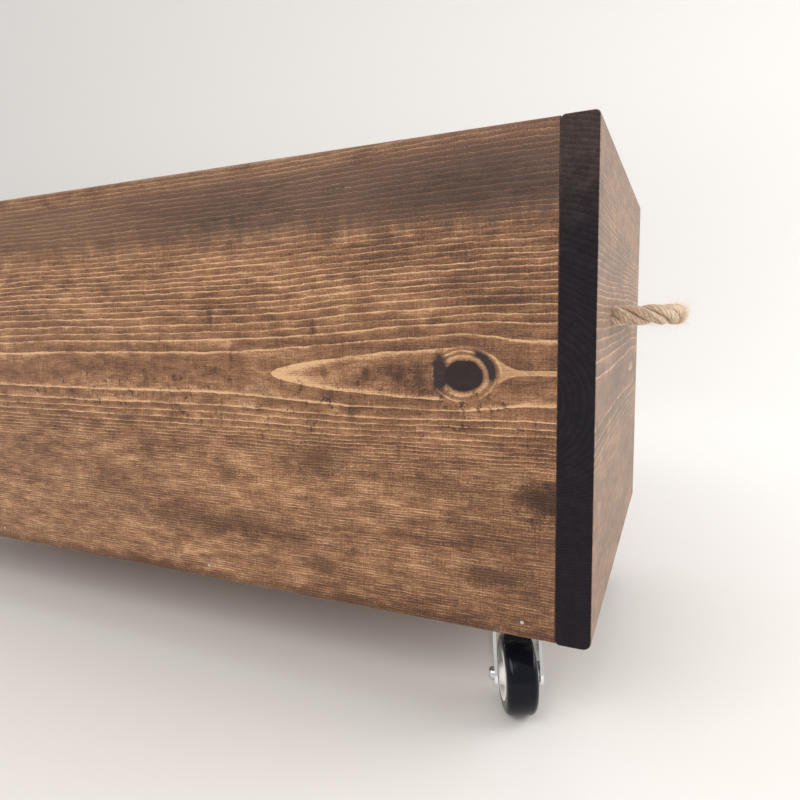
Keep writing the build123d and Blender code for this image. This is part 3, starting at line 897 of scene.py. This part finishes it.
def make_handle(side, end, strands, hair):
    """One rope from knot to knot, at the right end (side 1) or the left (side -1)."""
    to_row = end_frame(side)

    def in_row(points):
        return [to_row @ (Vector(point) * MM) for point in points]

    route = in_row(HANDLE_ROUTE)
    line = smooth_line(f"{end}_route", route)
    rope, centres = laid_rope(f"{end}_rope_loop", line, strands, RANDOM_SEED + side)
    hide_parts(f"{end}_handle_rope")
    loose = line[np.abs(line[:, 0]) > abs(route[0].x) + BOARD_MM * MM + HAIRLESS]
    fuzz = hairs(f"{end}_rope_hairs", loose, hair, RANDOM_SEED + 5 + side, LOOP_HAIRS)
    for piece in (rope, fuzz):
        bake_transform(piece)
    knots = []
    for hole, spot in ((-HOLE_Y, "front"), (HOLE_Y, "back")):
        placed = [Vector((x, y + hole / MM, z)) for x, y, z in knot_route()]
        knot_line = smooth_line(f"{end}_{spot}_knot_route", in_row(placed))
        seed = RANDOM_SEED + side + int(hole > 0)
        knot, _ = laid_rope(f"{end}_{spot}_knot", knot_line, strands, seed + 20)
        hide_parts(f"{end}_handle_{spot}_knot")
        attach(knot, "case")
        tuft = hairs(f"{end}_{spot}_knot_hairs", knot_line[12:], hair, seed + 40, KNOT_HAIRS, tuft=True)
        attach(tuft, "case")
        knots += [knot, tuft]


def make_handles():
    strands = rope_material()
    hair = hair_material()
    for side, end in ((1, "right"), (-1, "left")):
        make_handle(side, end, strands, hair)


# --- Studio -----------------------------------------------------------------------------------------------

FLOOR_HALF = 30.0
BACK_WALL_Y = 2.6
WALL_TOP = 5.0
SWEEP_RADIUS = 1.2
SWEEP_STEPS = 12
SKY_SPAN = {"From Min": -0.75, "From Max": 0.15, "To Min": 0.58, "To Max": 0.95}  # strength by direction's Y


def make_floor():
    """A pale floor that sweeps up into a back wall, which shines a little more the higher it is."""
    shader = Shader("pale_floor")
    height = shader.place_mm()[2]
    shader.feed(shader.surface.inputs["Emission Strength"], 0.02 + height.rise(0.0, 1600.0) * 0.10)
    material = shader.finish((0.82, 0.80, 0.775), 0.6, Emission_Color=(1.0, 0.985, 0.98, 1.0))
    sweep_y = BACK_WALL_Y - SWEEP_RADIUS
    profile = [(-FLOOR_HALF, 0.0), (sweep_y, 0.0)]
    for k in range(1, SWEEP_STEPS + 1):
        angle = math.radians(90.0 * k / SWEEP_STEPS)
        profile.append((sweep_y + SWEEP_RADIUS * math.sin(angle), SWEEP_RADIUS * (1 - math.cos(angle))))
    profile.append((BACK_WALL_Y, WALL_TOP))
    verts = [(sx * FLOOR_HALF, py, pz) for py, pz in profile for sx in (-1, 1)]
    faces = [(2 * k, 2 * k + 1, 2 * k + 3, 2 * k + 2) for k in range(len(profile) - 1)]
    mesh = bpy.data.meshes.new("studio_floor")
    mesh.from_pydata(verts, [], faces)
    mesh.update()
    for face in mesh.polygons:
        face.use_smooth = True
    mesh.materials.append(material)
    floor = bpy.data.objects.new("studio_floor", mesh)
    bpy.context.scene.collection.objects.link(floor)


def make_world():
    """Soft light from all sides, weaker from the front than from the back."""
    world = bpy.data.worlds.new("studio")
    bpy.context.scene.world = world
    world.use_nodes = True
    tree = world.node_tree
    background = tree.nodes["Background"]
    spot = tree.nodes.new("ShaderNodeTexCoord")
    split = tree.nodes.new("ShaderNodeSeparateXYZ")
    tree.links.new(spot.outputs["Generated"], split.inputs[0])
    mapped = tree.nodes.new("ShaderNodeMapRange")
    mapped.interpolation_type = "SMOOTHSTEP"
    for key, number in SKY_SPAN.items():
        mapped.inputs[key].default_value = number
    tree.links.new(split.outputs["Y"], mapped.inputs["Value"])
    tree.links.new(mapped.outputs["Result"], background.inputs["Strength"])
    background.inputs["Color"].default_value = (0.95, 0.94, 0.94, 1.0)


def soft_light(name, place, aim, size, watts, colour=(1.0, 1.0, 1.0)):
    light = bpy.data.lights.new(name, "AREA")
    light.shape = "RECTANGLE"
    light.size, light.size_y = size
    light.energy = watts
    light.color = colour
    obj = bpy.data.objects.new(name, light)
    obj.location = place
    obj.rotation_euler = (Vector(aim) - Vector(place)).to_track_quat("-Z", "Y").to_euler()
    bpy.context.scene.collection.objects.link(obj)


def make_lights():
    soft_light("window", (2.4, 0.9, 1.5), (0.1, 0.0, 0.2), (1.8, 1.8), 42.0)
    soft_light("front_fill", (-0.5, -2.3, 2.0), (0.1, -0.1, 0.2), (2.4, 1.4), 42.0, (1.0, 0.98, 0.95))


# --- Camera -----------------------------------------------------------------------------------------------

CAMERA_PLACE = (0.4231, -0.4926, 0.2531)
CAMERA_TURN_LEFT = math.radians(24.506)
CAMERA_LOOK_UP = math.radians(-7.629)
CAMERA_ROLL = math.radians(-1.325)
CAMERA_LENS_MM = 27.81
CAMERA_SENSOR_MM = 36.0
CAMERA_CLIP_START = 0.01


def make_camera():
    camera = bpy.data.cameras.new("camera")
    camera.lens = CAMERA_LENS_MM
    camera.sensor_width = CAMERA_SENSOR_MM
    camera.clip_start = CAMERA_CLIP_START
    obj = bpy.data.objects.new("camera", camera)
    turn = Matrix.Rotation(CAMERA_TURN_LEFT, 4, "Z") @ Matrix.Rotation(math.pi / 2 + CAMERA_LOOK_UP, 4, "X")
    obj.matrix_world = Matrix.Translation(CAMERA_PLACE) @ turn @ Matrix.Rotation(CAMERA_ROLL, 4, "Z")
    bpy.context.scene.collection.objects.link(obj)
    bpy.context.scene.camera = obj
    bpy.context.scene.view_settings.view_transform = "Standard"


make_wood()
make_hardware()
make_handles()
make_floor()
make_world()
make_lights()
make_camera()
